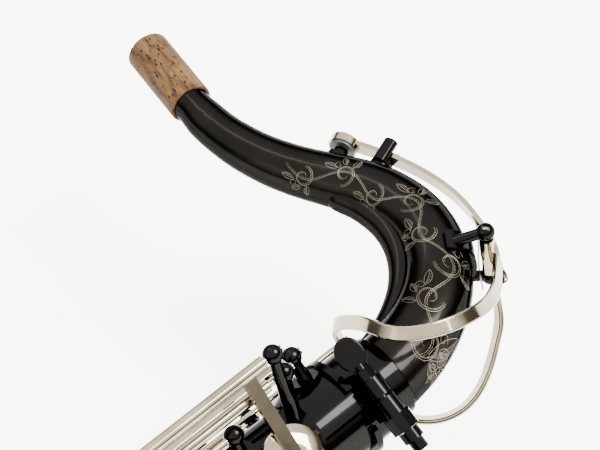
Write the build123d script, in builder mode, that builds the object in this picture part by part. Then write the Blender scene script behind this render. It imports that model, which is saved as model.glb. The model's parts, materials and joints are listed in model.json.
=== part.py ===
from build123d import *
import os
from math import atan2, cos, degrees, hypot, radians, sin

# Tenor saxophone, lying on its left side. While it is modelled, the main tube's axis is X with the
# neck at +X, Y points to the player and Z to the player's right hand, and x = 0 is the top rim of
# the neck receiver. At the end every piece is moved so that the origin is the bottom centre of the
# whole instrument's box. Millimetres throughout.

# ---------------------------------------------------------------- driving dimensions
WALL = 0.8                       # sheet thickness of the tubes
# Main tube: outer radius at stations down its length; the taper eases a little from top to foot.
BODY_TAPER = ((-24.0, 14.05), (-135.0, 17.03), (-290.5, 21.18), (-405.0, 24.23), (-501.0, 26.77),
              (-570.0, 28.6))
BODY_TOP_X, BODY_END_X = BODY_TAPER[0][0], BODY_TAPER[-1][0]
BODY_END_R = BODY_TAPER[-1][1]
BOW_BEND_R = 52.0                # radius of the U-bend's centreline
BOW_TURN = 176.5                 # degrees
BELL_START_R, BELL_RIM_R = 37.5, 77.0
BELL_LENGTH = 285.0
RIM_WIRE_R = 2.0

TENON_R, TENON_LENGTH = 13.75, 21.0
SOCKET_R = 13.80                 # running fit on the tenon
SLEEVE_R, SLEEVE_LENGTH = 16.3, 30.0
COLLAR_R, COLLAR_LENGTH = 15.0, 8.0
NECK_START_R, NECK_END_R = 14.0, 7.2
CORK_R, CORK_LENGTH = 8.2, 33.0

SCREW_X = -5.0                   # clamp screw: distance down the sleeve
SCREW_OFFSET = 22.2              # and from the tube's axis
SCREW_TILT = 33.4                # degrees of its axis above the Y direction

ROD_R = 1.25                     # steel hinge rods
KEY_BORE_R = 1.30                # running fit on the rods
KEY_TUBE_R = 2.3
BALL_R = 3.4                     # ball ends of the posts
POST_R = 1.9
CHIMNEY_HEIGHT = 3.0             # tone hole wall above the tube
PAD_GAP = 0.4                    # closed pad above its tone hole
CUP_RIM = 3.0                    # cup radius beyond the tone hole radius
CUP_HEIGHT = 3.4
PAD_THICK = 2.6

OCT_HINGE = (66.0, 12.0)         # x, y of the neck octave key's hinge, which runs along Z
OCT_HINGE_HALF = 9.5             # half length of its tube


# ---------------------------------------------------------------- shared geometry
def across(x, y=0.0, z=0.0):
    """Plane square to the main tube: its own x is Y and its own y is Z."""
    return Plane(origin=(x, y, z), x_dir=(0, 1, 0), z_dir=(1, 0, 0))


def outward(phi):
    """Unit vector at phi degrees round the tube: 0 is +Z, 90 is -Y, 180 is -Z."""
    return Vector(0, -sin(radians(phi)), cos(radians(phi)))


def radial(x, phi, distance):
    """Plane that faces away from the tube's axis."""
    normal = outward(phi)
    return Plane(origin=Vector(x, 0, 0) + normal * distance, x_dir=(1, 0, 0), z_dir=normal)


def body_radius(x):
    """Outer radius of the main tube at x."""
    for (x0, r0), (x1, r1) in zip(BODY_TAPER, BODY_TAPER[1:]):
        if x >= x1:
            break
    return r0 + (r1 - r0) * (x0 - x) / (x0 - x1)


def bell_radius(x):
    """Outer radius of the bell at x along its own axis: nearly straight, then flaring."""
    share = x / BELL_LENGTH
    return BELL_START_R + 9.0 * share + (BELL_RIM_R - BELL_START_R - 9.0) * share**5


def tube_x(x0, x1, y, z, radius, bore=0.0):
    """Round bar or tube along X."""
    with BuildSketch(across(x0, y, z)) as section:
        Circle(radius)
        if bore:
            Circle(bore, mode=Mode.SUBTRACT)
    extrude(section.sketch, amount=x1 - x0)


def strap(x, width, start, end, thick):
    """Flat bar from start to end, (y, z) points, with round ends; its width is along X."""
    run = (end[0] - start[0], end[1] - start[1])
    with BuildSketch(across(x - width / 2)) as section:
        with Locations(((start[0] + end[0]) / 2, (start[1] + end[1]) / 2)):
            SlotCenterToCenter(hypot(*run), thick, rotation=degrees(atan2(run[1], run[0])))
    extrude(section.sketch, amount=width)


def polar(phi, distance):
    """(y, z) of a point round the tube."""
    return (-sin(radians(phi)) * distance, cos(radians(phi)) * distance)


def tapered(inset):
    """The main tube filled out to a surface inset from its outer one."""
    with BuildPart() as solid:
        with BuildSketch(Plane.XY) as half:
            with BuildLine():
                Polyline((BODY_TOP_X, 0), *[(x, r - inset) for x, r in BODY_TAPER], (BODY_END_X, 0),
                         (BODY_TOP_X, 0))
            make_face()
        revolve(axis=Axis.X)
    return solid.part


BELL_STATIONS = 8


def flared(inset):
    """The bell filled out to a surface inset from its outer one, about X."""
    points = [(BELL_LENGTH * k / BELL_STATIONS, bell_radius(BELL_LENGTH * k / BELL_STATIONS) - inset)
              for k in range(BELL_STATIONS + 1)]
    with BuildPart() as solid:
        with BuildSketch(Plane.XY) as half:
            with BuildLine():
                Spline(*points)
                Polyline(points[-1], (BELL_LENGTH, 0), (0, 0), points[0])
            make_face()
        revolve(axis=Axis.X)
    return solid.part


body_filled = tapered(0)
bell_filled = flared(0)

pieces = []                      # every finished piece, exported at the end


def finish(shape, name):
    """Label a piece and keep it for export."""
    shape.label = name
    pieces.append(shape)
    return shape


# ---------------------------------------------------------------- main tube, bow and bell
# Tone holes: x, angle round the tube, bore diameter.
BODY_HOLES = {
    "high_key": (-40, 36, 15), "body_octave_key": (-112, 285, 6), "palm_f_key": (-82, 200, 14),
    "palm_eb_key": (-117, 205, 15), "palm_d_key": (-152, 210, 15), "side_e_key": (-98, 36, 14),
    "upper_c_key": (-165, 90, 18), "b_key": (-198, 90, 22), "a_key": (-234, 90, 24),
    "g_key": (-274, 90, 26), "side_c_key": (-181, 30, 15), "side_bb_key": (-216, 30, 15),
    "g_sharp_key": (-306, 150, 24), "f_sharp_key": (-342, 90, 29), "f_key": (-384, 90, 31),
    "e_key": (-428, 90, 33), "d_key": (-474, 90, 35), "low_eb_key": (-528, 8, 34),
}
BELL_HOLES = {"low_b_key": (86, 0, 44), "low_bb_key": (150, 0, 46), "low_cs_key": (34, 180, 42)}


def chimneys(holes, radius_at):
    """Tone hole walls, standing on the tube's axis."""
    for x, phi, bore in holes.values():
        with BuildSketch(radial(x, phi, 0)) as wall:
            Circle(bore / 2 + WALL)
        extrude(wall.sketch, amount=radius_at(x) + CHIMNEY_HEIGHT)


def bores(holes, radius_at):
    """Openings through the tone hole walls."""
    for x, phi, bore in holes.values():
        with BuildSketch(radial(x, phi, 0)) as opening:
            Circle(bore / 2)
        extrude(opening.sketch, amount=radius_at(x) + CHIMNEY_HEIGHT + 1, mode=Mode.SUBTRACT)


with BuildPart() as body_outline:
    add(body_filled)
    chimneys(BODY_HOLES, body_radius)
body_air = tapered(WALL)
with BuildPart() as body_tube:
    add(body_outline.part)
    add(body_air, mode=Mode.SUBTRACT)
    bores(BODY_HOLES, body_radius)
finish(body_tube.part, "body_tube")

# Bell, on its own axis; its place leans 3.5 degrees away from the main tube.
bell_lean = radians(180 - BOW_TURN)
bell_origin = Vector(BODY_END_X - BOW_BEND_R * sin(bell_lean), -BOW_BEND_R * (1 + cos(bell_lean)), 0)
bell_place = Location(Plane(origin=bell_origin, x_dir=(cos(bell_lean), -sin(bell_lean), 0),
                            z_dir=(0, 0, 1)))
bell_air = flared(WALL)
with BuildPart() as bell_outline:
    add(bell_filled)
    chimneys(BELL_HOLES, bell_radius)
with BuildPart() as bell:
    add(bell_outline.part)
    add(bell_air, mode=Mode.SUBTRACT)
    bores(BELL_HOLES, bell_radius)
    with BuildSketch(Plane.XY) as rim_wire:
        with Locations((BELL_LENGTH, BELL_RIM_R)):
            Circle(RIM_WIRE_R)
    revolve(rim_wire.sketch, axis=Axis.X)
finish(bell.part.moved(bell_place), "bell")

# Bow: round sections along the U-bend, with the low C tone hole on its right side.
with BuildLine() as bow_line:
    JernArc(start=(BODY_END_X, 0), tangent=(-1, 0), radius=BOW_BEND_R, arc_size=BOW_TURN)
BOW_STATIONS = 8
LOW_C_SHARE, LOW_C_BORE = 0.42, 40.0


def bow_sections(inset):
    """Circles along the bow, each inset from its outer surface."""
    circles = []
    for k in range(BOW_STATIONS + 1):
        share = k / BOW_STATIONS
        radius = BODY_END_R + (BELL_START_R - BODY_END_R) * share
        with BuildSketch(Plane(origin=bow_line.line @ share, x_dir=(0, 0, 1),
                               z_dir=bow_line.line % share)) as ring:
            Circle(radius - inset)
        circles.append(ring.sketch)
    return circles


low_c_radius = BODY_END_R + (BELL_START_R - BODY_END_R) * LOW_C_SHARE
low_c_centre = bow_line.line @ LOW_C_SHARE
with BuildPart() as bow_filled:
    loft(bow_sections(0))
with BuildPart() as bow_air:
    loft(bow_sections(WALL))
with BuildPart() as bow:
    add(bow_filled.part)
    with BuildSketch(Plane(origin=low_c_centre)) as low_c_wall:
        Circle(LOW_C_BORE / 2 + WALL)
    extrude(low_c_wall.sketch, amount=low_c_radius + CHIMNEY_HEIGHT)
    add(bow_air.part, mode=Mode.SUBTRACT)
    with BuildSketch(Plane(origin=low_c_centre)) as low_c_bore:
        Circle(LOW_C_BORE / 2)
    extrude(low_c_bore.sketch, amount=low_c_radius + CHIMNEY_HEIGHT + 1, mode=Mode.SUBTRACT)
finish(bow.part, "bow")


def joint_ring(radius, width, proud):
    """Half-round ring about X that clamps two tubes together."""
    with BuildPart() as ring:
        with BuildSketch(Plane.XY) as profile:
            with BuildLine():
                ThreePointArc((-width / 2, radius + 0.2), (0, radius + proud), (width / 2, radius + 0.2))
                Line((width / 2, radius + 0.2), (-width / 2, radius + 0.2))
            make_face()
        revolve(axis=Axis.X)
    return ring.part


RING_WIDTH = 9.0
with BuildPart() as body_bow_ring:
    add(joint_ring(BODY_END_R, RING_WIDTH, 3.2).moved(Location((BODY_END_X + RING_WIDTH / 2 + 0.5, 0, 0))))
    add(body_filled, mode=Mode.SUBTRACT)
finish(body_bow_ring.part, "body_bow_ring")
with BuildPart() as bow_bell_ring:
    add(joint_ring(BELL_START_R, RING_WIDTH, 3.2).moved(Location((RING_WIDTH / 2 + 0.5, 0, 0))))
    add(bell_filled, mode=Mode.SUBTRACT)
finish(bow_bell_ring.part.moved(bell_place), "bow_bell_ring")

# Sheet guard on the outside of the bow.
GUARD_LENGTH, GUARD_WIDTH = 70.0, 34.0
with BuildPart() as bow_guard:
    loft(bow_sections(-1.0))
    with BuildSketch(across(BODY_END_X - BOW_BEND_R - 60)) as guard_outline:
        with Locations((-BOW_BEND_R, 0)):
            SlotOverall(GUARD_LENGTH, GUARD_WIDTH)
    extrude(guard_outline.sketch, amount=50, mode=Mode.INTERSECT)
    add(bow_filled.part, mode=Mode.SUBTRACT)
finish(bow_guard.part, "bow_guard")

# Ring brace between the main tube and the bell.
BRACE_X = -520.0
bell_y_at_brace = bell_origin.Y - (BRACE_X - bell_origin.X) * sin(bell_lean)
brace_mid_y = (bell_y_at_brace + bell_radius(BRACE_X - bell_origin.X) - body_radius(BRACE_X)) / 2
with BuildPart() as bell_brace:
    with BuildSketch(Plane(origin=(BRACE_X, brace_mid_y, 0))) as brace_ring:
        Circle(17)
        Circle(13, mode=Mode.SUBTRACT)
    extrude(brace_ring.sketch, amount=2.0, both=True)
    for reach, foot_radius in ((1, 8.0), (-1, 9.0)):
        with BuildSketch(Plane(origin=(BRACE_X, brace_mid_y + reach * 15, 0), x_dir=(1, 0, 0),
                               z_dir=(0, reach, 0))) as stub:
            Circle(3.0)
        extrude(stub.sketch, amount=14)
    add(body_filled, mode=Mode.SUBTRACT)
    add(bell_filled.moved(bell_place), mode=Mode.SUBTRACT)
finish(bell_brace.part, "bell_brace")

# ---------------------------------------------------------------- neck receiver and its clamp
screw_along = Vector(0, cos(radians(SCREW_TILT)), sin(radians(SCREW_TILT)))
screw_up = Vector(0, -sin(radians(SCREW_TILT)), cos(radians(SCREW_TILT)))
# Square to the clamp screw; its own x is X and its own y points to the tube's axis.
clamp_plane = Plane(origin=Vector(SCREW_X, 0, 0) + screw_up * SCREW_OFFSET, x_dir=(1, 0, 0),
                    z_dir=screw_along)
LUG_R, LUG_LENGTH, SLIT = 4.1, 6.6, 1.0
SLIT_AT = -3.4                   # middle of the slit along the screw
BLOCK_END = SLIT_AT - SLIT / 2 - LUG_LENGTH - 6.0
CLAMP_SCREW_R, LYRE_SCREW_R = 1.95, 1.45
THREAD_PLAY = 0.05


def along_screw(start, length, radius, mode=Mode.ADD, sides=0):
    """Round or many-sided bar along the clamp screw."""
    with BuildSketch(clamp_plane.offset(start)) as section:
        if sides:
            RegularPolygon(radius, sides)
        else:
            Circle(radius)
    extrude(section.sketch, amount=length, mode=mode)


def screw_web(start, length, width):
    """Web that joins a lug to the sleeve."""
    with BuildSketch(clamp_plane.offset(start)) as section:
        with Locations((0, SCREW_OFFSET / 2 - 4)):
            Rectangle(width, SCREW_OFFSET / 2 + 4)
    extrude(section.sketch, amount=length)


first_lug = SLIT_AT + SLIT / 2
second_lug = SLIT_AT - SLIT / 2 - LUG_LENGTH
with BuildPart() as neck_receiver:
    with BuildSketch(Plane.XY) as sleeve_half:
        Polygon((-SLEEVE_LENGTH, 0), (-SLEEVE_LENGTH, 15.0), (3.5 - SLEEVE_LENGTH, SLEEVE_R), (0, SLEEVE_R),
                (0, 0), align=None)
    revolve(axis=Axis.X)
    screw_web(first_lug, LUG_LENGTH, 6.5)
    screw_web(second_lug, LUG_LENGTH, 6.5)
    along_screw(first_lug, LUG_LENGTH, LUG_R)
    along_screw(second_lug, LUG_LENGTH, LUG_R)
    along_screw(BLOCK_END, 6.0, 5.0, sides=8)
    with BuildSketch(clamp_plane.offset(SLIT_AT - SLIT / 2)) as slit_face:
        with Locations((-5, SCREW_OFFSET / 2 - 5)):
            Rectangle(SLEEVE_LENGTH + 4, SCREW_OFFSET / 2 + 7)
    extrude(slit_face.sketch, amount=SLIT, mode=Mode.SUBTRACT)
    with BuildSketch(across(BODY_TOP_X)) as socket:
        Circle(SOCKET_R)
    extrude(socket.sketch, amount=-BODY_TOP_X, mode=Mode.SUBTRACT)
    add(body_filled, mode=Mode.SUBTRACT)
    along_screw(second_lug + 0.5, 2 * LUG_LENGTH + SLIT, CLAMP_SCREW_R + THREAD_PLAY, Mode.SUBTRACT)
    along_screw(BLOCK_END, 4.5, LYRE_SCREW_R + THREAD_PLAY, Mode.SUBTRACT)
finish(neck_receiver.part, "neck_receiver")

# Raised band round the sleeve, open at the clamp's lugs.
BAND_X, BAND_WIDTH, BAND_R = -11.0, 2.4, 18.6
with BuildPart() as receiver_band:
    tube_x(BAND_X - BAND_WIDTH / 2, BAND_X + BAND_WIDTH / 2, 0, 0, BAND_R, SLEEVE_R)
    with BuildSketch(clamp_plane.offset(second_lug - 1)) as lug_gap:
        with Locations((BAND_X - SCREW_X, 2)):
            Rectangle(BAND_WIDTH * 3, 14)
    extrude(lug_gap.sketch, amount=2 * LUG_LENGTH + SLIT + 2, mode=Mode.SUBTRACT)
finish(receiver_band.part, "receiver_band")

# Its thumb plate is a flat oval in line with the shank, turned a little towards the tube's foot.
PLATE_TURN, PLATE_THICK, PLATE_CENTRE = 18.9, 2.4, 13.6
plate_normal = screw_up * cos(radians(PLATE_TURN)) - Vector(sin(radians(PLATE_TURN)), 0, 0)
plate_plane = Plane(origin=clamp_plane.origin + screw_along * PLATE_CENTRE, x_dir=screw_along,
                    z_dir=plate_normal)
with BuildPart() as thumb_plate:
    with BuildSketch(plate_plane.offset(-PLATE_THICK / 2)) as plate_outline:
        Ellipse(6.2, 5.0)
    extrude(plate_outline.sketch, amount=PLATE_THICK)
    fillet(thumb_plate.edges(), 0.8)
with BuildPart() as clamp_screw:
    along_screw(second_lug + 1, 19, CLAMP_SCREW_R)
    along_screw(first_lug + LUG_LENGTH + 0.3, 3.6, 3.4, sides=8)
    add(thumb_plate.part)
finish(clamp_screw.part, "clamp_screw")

with BuildPart() as lyre_screw:
    along_screw(BLOCK_END - 3, 7, LYRE_SCREW_R)
    along_screw(BLOCK_END - 4.2, 3.9, 3.6)
    along_screw(BLOCK_END - 8.2, 4, 2.7, sides=12)
finish(lyre_screw.part, "lyre_screw")

# ---------------------------------------------------------------- neck
with BuildLine() as neck_line:
    neck_run = Line((2, 0), (6.1, 0))
    neck_bend_1 = JernArc(start=neck_run @ 1, tangent=neck_run % 1, radius=59.6, arc_size=33.5)
    neck_bend_2 = JernArc(start=neck_bend_1 @ 1, tangent=neck_bend_1 % 1, radius=46.1, arc_size=19)
    neck_bend_3 = JernArc(start=neck_bend_2 @ 1, tangent=neck_bend_2 % 1, radius=42.5, arc_size=41.3)
    neck_bend_4 = JernArc(start=neck_bend_3 @ 1, tangent=neck_bend_3 % 1, radius=49.9, arc_size=22.6)
    neck_straight = PolarLine(neck_bend_4 @ 1, 17.2, direction=neck_bend_4 % 1)
    neck_rise = JernArc(start=neck_straight @ 1, tangent=neck_straight % 1, radius=94.2, arc_size=-35.4)
    neck_tip = PolarLine(neck_rise @ 1, CORK_LENGTH + 0.6, direction=neck_rise % 1)
neck_path = neck_line.wires()[0]
neck_length = neck_path.length
cork_from = neck_length - CORK_LENGTH - 0.6
NECK_STATIONS = 22


def neck_radius(distance):
    """Outer radius of the neck at a distance along it: an even taper, then parallel under the cork."""
    return NECK_START_R + (NECK_END_R - NECK_START_R) * min(1.0, distance / cork_from)


def neck_plane(distance, out=0.0, z=0.0):
    """Plane square to the neck; its own x is Z. It stands `out` towards the outside of the bend."""
    tangent = neck_path.tangent_at(distance / neck_length)
    outside = Vector(tangent.Y, -tangent.X, 0)
    centre = neck_path.position_at(distance / neck_length) + outside * out + Vector(0, 0, z)
    return Plane(origin=centre, x_dir=(0, 0, 1), z_dir=tangent)


def neck_out_plane(distance, out):
    """Plane that faces away from the neck's axis on the outside of its bend."""
    tangent = neck_path.tangent_at(distance / neck_length)
    outside = Vector(tangent.Y, -tangent.X, 0)
    return Plane(origin=neck_path.position_at(distance / neck_length) + outside * out,
                 x_dir=tangent, z_dir=outside)


def neck_sections(inset):
    """Circles along the neck, inset from its outer surface."""
    circles = []
    stops = [cork_from * k / NECK_STATIONS for k in range(NECK_STATIONS + 1)]
    for distance in stops:
        with BuildSketch(neck_plane(distance)) as ring:
            Circle(neck_radius(distance) - inset)
        circles.append(ring.sketch)
    return circles


def neck_solid(inset):
    """The neck filled out to a surface inset from its outer one."""
    with BuildPart() as solid:
        loft(neck_sections(inset))
        with BuildSketch(neck_plane(cork_from)) as tip_section:
            Circle(NECK_END_R - inset)
        extrude(tip_section.sketch, amount=neck_length - cork_from)
    return solid.part


neck_filled = neck_solid(0)
with BuildPart() as neck_tube:
    add(neck_filled)
    add(neck_solid(WALL), mode=Mode.SUBTRACT)
finish(neck_tube.part, "neck_tube")

with BuildPart() as neck_collar:
    with BuildSketch(Plane.XY) as collar_half:
        Polygon((-TENON_LENGTH, 12.9), (-TENON_LENGTH, TENON_R), (0.3, TENON_R), (0.3, COLLAR_R - 0.4),
                (0.7, COLLAR_R), (COLLAR_LENGTH - 0.5, COLLAR_R), (COLLAR_LENGTH, COLLAR_R - 0.6),
                (COLLAR_LENGTH, 12.9), align=None)
    revolve(axis=Axis.X)
    add(neck_filled, mode=Mode.SUBTRACT)
finish(neck_collar.part, "neck_collar")

with BuildPart() as neck_cork:
    with BuildSketch(neck_plane(cork_from)) as cork_ring:
        Circle(CORK_R)
    extrude(cork_ring.sketch, amount=CORK_LENGTH)
    fillet(neck_cork.edges().filter_by(GeomType.CIRCLE), 0.6)
    add(neck_filled, mode=Mode.SUBTRACT)
finish(neck_cork.part, "neck_cork")

# Brace: a rounded keel along the inside of the bend, hollowed to sit on the neck.
BRACE_FROM, BRACE_TO, KEEL_R, KEEL_FIT = 8.6, 106.0, 5.2, 0.03
KEEL_STATIONS = 12


def keel_section(distance, radius, proud):
    """Crescent between the keel's round back and the neck's surface."""
    with BuildSketch(neck_plane(distance)) as crescent:
        with Locations((0, -(neck_radius(distance) - radius + proud))):
            Circle(radius)
        Circle(neck_radius(distance) + KEEL_FIT, mode=Mode.SUBTRACT)
    return crescent.sketch


keel_sections = []
for k in range(KEEL_STATIONS + 1):
    share = k / KEEL_STATIONS
    keel_sections.append(keel_section(BRACE_FROM + (BRACE_TO - BRACE_FROM) * share, KEEL_R,
                                      1.9 + 3.3 * sin(radians(180 * share))))
keel_sections.append(keel_section(BRACE_TO + 2.5, KEEL_R - 0.9, 1.5))
keel_sections.append(keel_section(BRACE_TO + 4, KEEL_R - 2.4, 0.7))
with BuildPart() as neck_brace:
    loft(keel_sections)
finish(neck_brace.part, "neck_brace")

# ---------------------------------------------------------------- octave mechanism on the neck
PIP_AT, PIP_TOP = 115.0, 13.4    # along the neck, and its rim's distance from the neck's centreline
with BuildPart() as octave_pip:
    with BuildSketch(neck_out_plane(PIP_AT, 5)) as pip_section:
        Circle(2.6)
    extrude(pip_section.sketch, amount=PIP_TOP - 5)
    with BuildSketch(neck_out_plane(PIP_AT, 8)) as pip_flange:
        Circle(4.2)
    extrude(pip_flange.sketch, amount=2.6)
    add(neck_filled, mode=Mode.SUBTRACT)
    with BuildSketch(neck_out_plane(PIP_AT, 5)) as pip_bore:
        Circle(1.1)
    extrude(pip_bore.sketch, amount=PIP_TOP, mode=Mode.SUBTRACT)
finish(octave_pip.part, "octave_pip")

# Hinge saddle: a strip bent over the neck, with a ball post at each end.
SADDLE_AT, SADDLE_WIDTH, SADDLE_THICK, BALL_Z = 56.4, 8.0, 1.6, 12.6
hinge_point = Vector(*OCT_HINGE, 0)
with BuildPart() as octave_saddle:
    with BuildSketch(neck_plane(SADDLE_AT)) as saddle_strip:
        Circle(neck_radius(SADDLE_AT) + SADDLE_THICK)
        with Locations((0, -16)):
            Rectangle(40, 40, mode=Mode.SUBTRACT)
    extrude(saddle_strip.sketch, amount=SADDLE_WIDTH / 2, both=True)
    for side in (-1, 1):
        foot = neck_plane(SADDLE_AT, 6.4, side * 10).origin
        ball = hinge_point + Vector(0, 0, side * BALL_Z)
        rise = (ball - foot).normalized()
        with BuildSketch(Plane(origin=foot - rise * 2, x_dir=(0, 0, 1), z_dir=rise)) as stem:
            Circle(2.0)
        extrude(stem.sketch, amount=(ball - foot).length + 2)
        with Locations(ball):
            Sphere(3.2)
        with BuildSketch(Plane(origin=ball - Vector(0, 0, 4))) as ball_bore:
            Circle(ROD_R)
        extrude(ball_bore.sketch, amount=8, mode=Mode.SUBTRACT)
    add(neck_filled, mode=Mode.SUBTRACT)
finish(octave_saddle.part, "octave_saddle")

with BuildPart() as octave_hinge_rod:
    with BuildSketch(Plane(origin=hinge_point - Vector(0, 0, 14.6))) as rod_section:
        Circle(ROD_R)
    extrude(rod_section.sketch, amount=29.2)
finish(octave_hinge_rod.part, "octave_hinge_rod")

# Fork that guides the key's bar.
GUIDE_AT = 100.0
with BuildPart() as octave_guide:
    with BuildSketch(neck_out_plane(GUIDE_AT, 5)) as guide_foot:
        Circle(4.0)
    extrude(guide_foot.sketch, amount=6.6)
    with BuildSketch(neck_out_plane(GUIDE_AT, 11)) as guide_block:
        RectangleRounded(5.4, 10.4, 2.4)
    extrude(guide_block.sketch, amount=9.6)
    with BuildSketch(neck_out_plane(GUIDE_AT, 14.2)) as guide_slot:
        Rectangle(7, 6.2)
    extrude(guide_slot.sketch, amount=8, mode=Mode.SUBTRACT)
    add(neck_filled, mode=Mode.SUBTRACT)
finish(octave_guide.part, "octave_guide")

# The key: pad cup, flat bar over the neck, hinge tube, and a loop round the neck's base.
BAR_WIDTH, BAR_THICK = 5.0, 1.8
pad_plane = neck_out_plane(PIP_AT, PIP_TOP + 0.3)
OCT_PAD_THICK = 2.4
LOOP_SIDE = ((65.6, 6.2, 3.0), (54.5, -5.0, 8.5), (36, -14.6, 21), (20.5, -12.8, 26), (11.4, -4.6, 25),
             (8.9, 7.0, 20.6), (8.6, 18.8, 11), (8.0, 25.9, 0))
LOOP_MIDDLE = Vector(28, 4, 0)
LOOP_STATIONS = 34


def loop_sections():
    """Rounded bar sections along the whole loop, thin towards the loop's middle."""
    other_side = [(x, y, -z) for x, y, z in reversed(LOOP_SIDE[:-1])]
    with BuildLine() as loop_line:
        Spline(*LOOP_SIDE, *other_side, tangents=((-0.72, -0.66, 0.2), (0.72, 0.66, 0.2)))
    loop_path = loop_line.wires()[0]
    sections = []
    for k in range(LOOP_STATIONS + 1):
        tangent = loop_path % (k / LOOP_STATIONS)
        point = loop_path @ (k / LOOP_STATIONS)
        wide = tangent.cross(point - LOOP_MIDDLE)
        with BuildSketch(Plane(origin=point, x_dir=wide, z_dir=tangent)) as bar_section:
            RectangleRounded(BAR_WIDTH, BAR_THICK, 0.6)
        sections.append(bar_section.sketch)
    return sections


with BuildPart() as key_loop:
    loft(loop_sections())
with BuildPart() as neck_octave_key:
    with BuildSketch(Plane.XY) as bar_outline:
        with BuildLine() as bar_line:
            Spline(pad_plane.origin + pad_plane.z_dir * (OCT_PAD_THICK + 1.0), (71.9, 64.5), (74.7, 50.9),
                   (75.1, 35.5), (72.6, 22.5), (68.6, 10.8), (64.0, 4.6))
        trace(line_width=BAR_THICK)
    extrude(bar_outline.sketch, amount=BAR_WIDTH / 2, both=True)
    with BuildSketch(pad_plane.offset(0.9)) as cup_section:
        Circle(5.4)
    extrude(cup_section.sketch, amount=OCT_PAD_THICK + 0.8)
    with BuildSketch(pad_plane.offset(OCT_PAD_THICK + 1.7)) as cup_crown:
        Circle(4.4)
    extrude(cup_crown.sketch, amount=0.5)
    add(key_loop.part)
    with BuildSketch(Plane(origin=hinge_point - Vector(0, 0, OCT_HINGE_HALF - 0.4))) as hinge_tube:
        Circle(KEY_TUBE_R + 0.3)
    extrude(hinge_tube.sketch, amount=2 * OCT_HINGE_HALF - 0.8)
    with BuildSketch(Plane(origin=hinge_point - Vector(0, 0, 12))) as hinge_bore:
        Circle(KEY_BORE_R)
    extrude(hinge_bore.sketch, amount=24, mode=Mode.SUBTRACT)
    with BuildSketch(pad_plane) as pad_seat:
        Circle(4.7)
    extrude(pad_seat.sketch, amount=OCT_PAD_THICK, mode=Mode.SUBTRACT)
finish(neck_octave_key.part, "neck_octave_key")

with BuildPart() as octave_pad:
    with BuildSketch(pad_plane) as pad_section:
        Circle(4.7)
    extrude(pad_section.sketch, amount=OCT_PAD_THICK)
finish(octave_pad.part, "octave_pad")

with BuildPart() as octave_spring:
    with BuildSketch(Plane.XY) as spring_outline:
        with BuildLine() as spring_line:
            Spline((72.9, 27.5), (67.4, 18.2), (61.6, 12.0), (57.4, 6.6), (54.9, 2.8))
        trace(line_width=0.5)
    extrude(spring_outline.sketch, amount=1.3, both=True)
    add(neck_octave_key.part, mode=Mode.SUBTRACT)
finish(octave_spring.part, "octave_spring")

# ---------------------------------------------------------------- keys
# Hinge lines of the body, each a (y, z) pair; every one runs along X.
LINES = {
    "high": (7.0, 43.0), "side": (5.8, 32.0), "octave": (14.7, 22.0), "low_side": (3.0, 25.3),
    "palm": (24.4, -8.9), "upper_stack": (-27.0, 20.5), "lower_stack": (-32.0, 25.0),
    "g_sharp": (-31.7, -14.8), "low_eb": (21.0, 35.0), "low_c": (-12.0, 44.0),
}
BELL_LINES = {"low_bb": (31.0, 48.0), "low_b": (38.0, 44.0), "low_cs": (28.0, -46.0)}

# Keys: hinge line, ends of the hinge tube, touch piece and how far the key opens, in degrees.
# A touch is (kind, x, angle round the tube, distance from its axis).
BODY_KEYS = {
    "high_key": ("high", -32.6, -329, ("spatula", -318, 30, 44), 7),
    "side_e_key": ("side", -33.6, -181, ("spatula", -170, -22, 42), 6),
    "side_bb_key": ("side", -189, -350, ("spatula", -340, 20, 40), 6),
    "side_c_key": ("low_side", -55.4, -315.5, ("spatula", -296, 30, 37), 6),
    "body_octave_key": ("octave", -21.5, -122, None, 6),
    "palm_f_key": ("palm", -74, -94.5, ("spatula", -84, 238, 42), 7),
    "palm_eb_key": ("palm", -102.5, -131, ("spatula", -116, 238, 44), 7),
    "palm_d_key": ("palm", -139, -165, ("spatula", -150, 238, 46), 7),
    "upper_c_key": ("upper_stack", -152, -180, None, 7),
    "b_key": ("upper_stack", -180.5, -216.5, ("pearl", -198, 90, 0), 7),
    "a_key": ("upper_stack", -217, -250.5, ("pearl", -234, 90, 0), 7),
    "g_key": ("upper_stack", -258.5, -288, ("pearl", -274, 90, 0), 7),
    "g_sharp_key": ("g_sharp", -296.5, -315.5, ("spatula", -306, 104, 42), 7),
    "f_sharp_key": ("lower_stack", -328, -362, None, 7),
    "f_key": ("lower_stack", -362.5, -400, ("pearl", -384, 90, 0), 7),
    "e_key": ("lower_stack", -408, -448, ("pearl", -428, 90, 0), 7),
    "d_key": ("lower_stack", -448.5, -490, ("pearl", -474, 90, 0), 7),
    "low_eb_key": ("low_eb", -474, -544, ("spatula", -480, 30, 47), 7),
}
BELL_KEYS = {
    "low_b_key": ("low_b", 62, 190, ("spatula", 176, -62, 58), 7),
    "low_bb_key": ("low_bb", 124, 208, ("spatula", 200, -58, 66), 7),
    "low_cs_key": ("low_cs", 20, 70, ("spatula", 62, 228, 66), 7),
}
OPEN_AT_REST = {"upper_c_key", "b_key", "a_key", "g_key", "f_sharp_key", "f_key", "e_key", "d_key",
                "low_b_key", "low_bb_key", "low_cs_key", "low_c_key"}
ARM_WIDTH, ARM_THICK = 4.6, 2.4


def opening_sign(line, centre, normal):
    """+1 when a turn about +X lifts a cup at centre along normal, -1 when a turn about -X does."""
    y, z = centre[0] - line[0], centre[1] - line[1]
    return 1 if y * normal.Z - z * normal.Y > 0 else -1


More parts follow.
